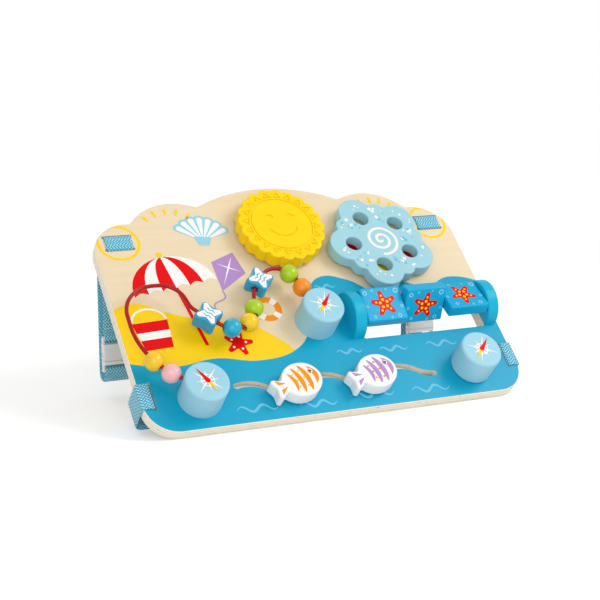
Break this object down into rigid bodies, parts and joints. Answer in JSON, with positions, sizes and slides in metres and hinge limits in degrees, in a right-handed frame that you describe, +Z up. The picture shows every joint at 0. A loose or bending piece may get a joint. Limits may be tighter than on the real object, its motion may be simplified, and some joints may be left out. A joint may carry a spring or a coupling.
{
  "type": "baby activity center",
  "caption": "Leaning wooden activity board for a baby with a spinning sun, a splash wheel, flip tablets, sliding fish, beads on a bent wire, knobs, straps and a fold-out leg.",
  "frame": {"origin": "on the floor, under the middle of the toy's box", "axes": "+X along the board's width to the right as seen from the front, +Y away from the viewer, +Z up"},
  "size_m": [0.3834, 0.2128, 0.1883],
  "materials": {
    "plywood": "sealed birch plywood with a printed face",
    "sun_paint": "satin yellow paint",
    "splash_paint": "satin pale blue paint",
    "knob_paint": "satin pale blue paint",
    "bracket_paint": "satin turquoise paint",
    "tablet_paint": "satin bright blue paint",
    "fish_paint": "satin white paint",
    "dowel": "plain beech",
    "pink_paint": "gloss pink paint",
    "yellow_paint": "gloss yellow paint",
    "turquoise_paint": "gloss turquoise paint",
    "green_paint": "gloss green paint",
    "orange_paint": "gloss orange paint",
    "star_paint": "satin natural wood with a painted motif",
    "wire_coat": "gloss red plastic-coated steel",
    "steel": "plain zinc-plated steel",
    "webbing": "woven turquoise webbing",
    "buckle_plastic": "translucent white nylon"
  },
  "bodies": {
    "board": {"board": "plywood", "sun_spacer": "dowel", "splash_spacer": "dowel", "compass_spacer": "dowel", "left_anchor_knob": "knob_paint", "middle_anchor_knob": "knob_paint", "anchor_screws": "steel", "left_bracket": "bracket_paint", "right_bracket": "bracket_paint", "bracket_screws": "steel", "tablet_axle": "steel", "bead_wire": "wire_coat", "upper_left_strap": "webbing", "lower_left_strap": "webbing", "upper_left_buckle_socket": "buckle_plastic", "upper_left_buckle_plug": "buckle_plastic", "lower_left_buckle_socket": "buckle_plastic", "lower_left_buckle_plug": "buckle_plastic", "upper_right_strap": "webbing", "lower_right_strap": "webbing", "upper_right_buckle_socket": "buckle_plastic", "upper_right_buckle_plug": "buckle_plastic", "lower_right_buckle_socket": "buckle_plastic", "lower_right_buckle_plug": "buckle_plastic", "stand_lugs": "dowel", "stand_pins": "steel"},
    "sun": {"sun_wheel": "sun_paint", "sun_axle": "dowel", "sun_keeper": "dowel"},
    "splash": {"splash_wheel": "splash_paint", "splash_axle": "dowel", "splash_keeper": "dowel"},
    "compass": {"compass_knob": "knob_paint", "compass_axle": "dowel", "compass_keeper": "dowel"},
    "leg": {"stand_leg": "plywood"},
    "left_fish": {"left_fish": "fish_paint", "left_fish_peg": "dowel", "left_fish_keeper": "dowel"},
    "right_fish": {"right_fish": "fish_paint", "right_fish_peg": "dowel", "right_fish_keeper": "dowel"},
    "left_tablet": {"left_tablet": "tablet_paint"},
    "middle_tablet": {"middle_tablet": "tablet_paint"},
    "right_tablet": {"right_tablet": "tablet_paint"},
    "pink_bead": {"pink_bead": "pink_paint"},
    "left_yellow_bead": {"left_yellow_bead": "yellow_paint"},
    "turquoise_bead": {"turquoise_bead": "turquoise_paint"},
    "right_yellow_bead": {"right_yellow_bead": "yellow_paint"},
    "lower_green_bead": {"lower_green_bead": "green_paint"},
    "upper_green_bead": {"upper_green_bead": "green_paint"},
    "orange_bead": {"orange_bead": "orange_paint"},
    "lower_star_bead": {"lower_star_bead": "star_paint"},
    "upper_star_bead": {"upper_star_bead": "star_paint"}
  },
  "joints": [
    {"name": "sun_spin", "type": "hinge", "parent": "board", "child": "sun", "pos_m": [-0.00551, 0.05417, 0.14608], "axis": [0, -0.6769, 0.7361], "continuous": true},
    {"name": "splash_spin", "type": "hinge", "parent": "board", "child": "splash", "pos_m": [0.09328, 0.03477, 0.12824], "axis": [0, -0.6769, 0.7361], "continuous": true},
    {"name": "compass_spin", "type": "hinge", "parent": "board", "child": "compass", "pos_m": [0.13756, -0.07331, 0.02886], "axis": [0, -0.6769, 0.7361], "continuous": true},
    {"name": "left_tablet_flip", "type": "hinge", "parent": "board", "child": "left_tablet", "pos_m": [0.10754, -0.03218, 0.08569], "axis": [1, 0, 0], "continuous": true},
    {"name": "middle_tablet_flip", "type": "hinge", "parent": "board", "child": "middle_tablet", "pos_m": [0.10754, -0.03218, 0.08569], "axis": [1, 0, 0], "continuous": true},
    {"name": "right_tablet_flip", "type": "hinge", "parent": "board", "child": "right_tablet", "pos_m": [0.10754, -0.03218, 0.08569], "axis": [1, 0, 0], "continuous": true},
    {"name": "left_fish_swim", "type": "hinge", "parent": "board", "child": "left_fish", "pos_m": [-0.05396, -0.05084, 0.04952], "axis": [0, -0.6769, 0.7361], "range_deg": [-49, 10]},
    {"name": "right_fish_swim", "type": "hinge", "parent": "board", "child": "right_fish", "pos_m": [0.02204, -0.05084, 0.04952], "axis": [0, -0.6769, 0.7361], "range_deg": [-30, 16]},
    {"name": "left_yellow_bead_slide", "type": "hinge", "parent": "board", "child": "left_yellow_bead", "pos_m": [-0.1144, -0.02182, 0.07621], "axis": [0, 0.6769, -0.7361], "range_deg": [0, 25.99]},
    {"name": "pink_bead_slide", "type": "hinge", "parent": "board", "child": "pink_bead", "pos_m": [-0.1144, -0.02182, 0.07621], "axis": [0, 0.6769, -0.7361], "range_deg": [0, 25.99]},
    {"name": "lower_star_bead_slide", "type": "slide", "parent": "board", "child": "lower_star_bead", "axis": [0.7218, -0.5094, -0.4685], "range_m": [-0.0045, 0.0005]},
    {"name": "upper_star_bead_slide", "type": "slide", "parent": "board", "child": "upper_star_bead", "axis": [0.6557, 0.5558, 0.5111], "range_m": [0, 0.004]},
    {"name": "lower_green_bead_slide", "type": "slide", "parent": "board", "child": "lower_green_bead", "axis": [0.2695, 0.7089, 0.6518], "range_m": [0, 0.006]},
    {"name": "right_yellow_bead_slide", "type": "hinge", "parent": "board", "child": "right_yellow_bead", "pos_m": [-0.08868, -0.01431, 0.08311], "axis": [0, -0.6769, 0.7361], "range_deg": [0, 15.12]},
    {"name": "turquoise_bead_slide", "type": "hinge", "parent": "board", "child": "turquoise_bead", "pos_m": [-0.08868, -0.01431, 0.08311], "axis": [0, -0.6769, 0.7361], "range_deg": [0, 15.12]},
    {"name": "upper_green_bead_slide", "type": "hinge", "parent": "board", "child": "upper_green_bead", "pos_m": [-0.03236, 0.00082, 0.09702], "axis": [0, -0.6769, 0.7361], "range_deg": [0, 14]},
    {"name": "orange_bead_slide", "type": "slide", "parent": "board", "child": "orange_bead", "axis": [-0.2844, 0.7057, 0.6489], "range_m": [0, 0.0047]},
    {"name": "leg_fold", "type": "hinge", "parent": "board", "child": "leg", "pos_m": [0, 0.05011, 0.11246], "axis": [-1, 0, 0], "range_deg": [0, 59]}
  ],
  "couplings": [
    {"joint": "pink_bead_slide", "follows": "left_yellow_bead_slide", "ratio": 1},
    {"joint": "right_yellow_bead_slide", "follows": "lower_green_bead_slide", "rad_per_m": 43.951},
    {"joint": "turquoise_bead_slide", "follows": "lower_green_bead_slide", "rad_per_m": 43.951},
    {"joint": "orange_bead_slide", "follows": "upper_green_bead_slide", "m_per_rad": 0.019242}
  ]
}
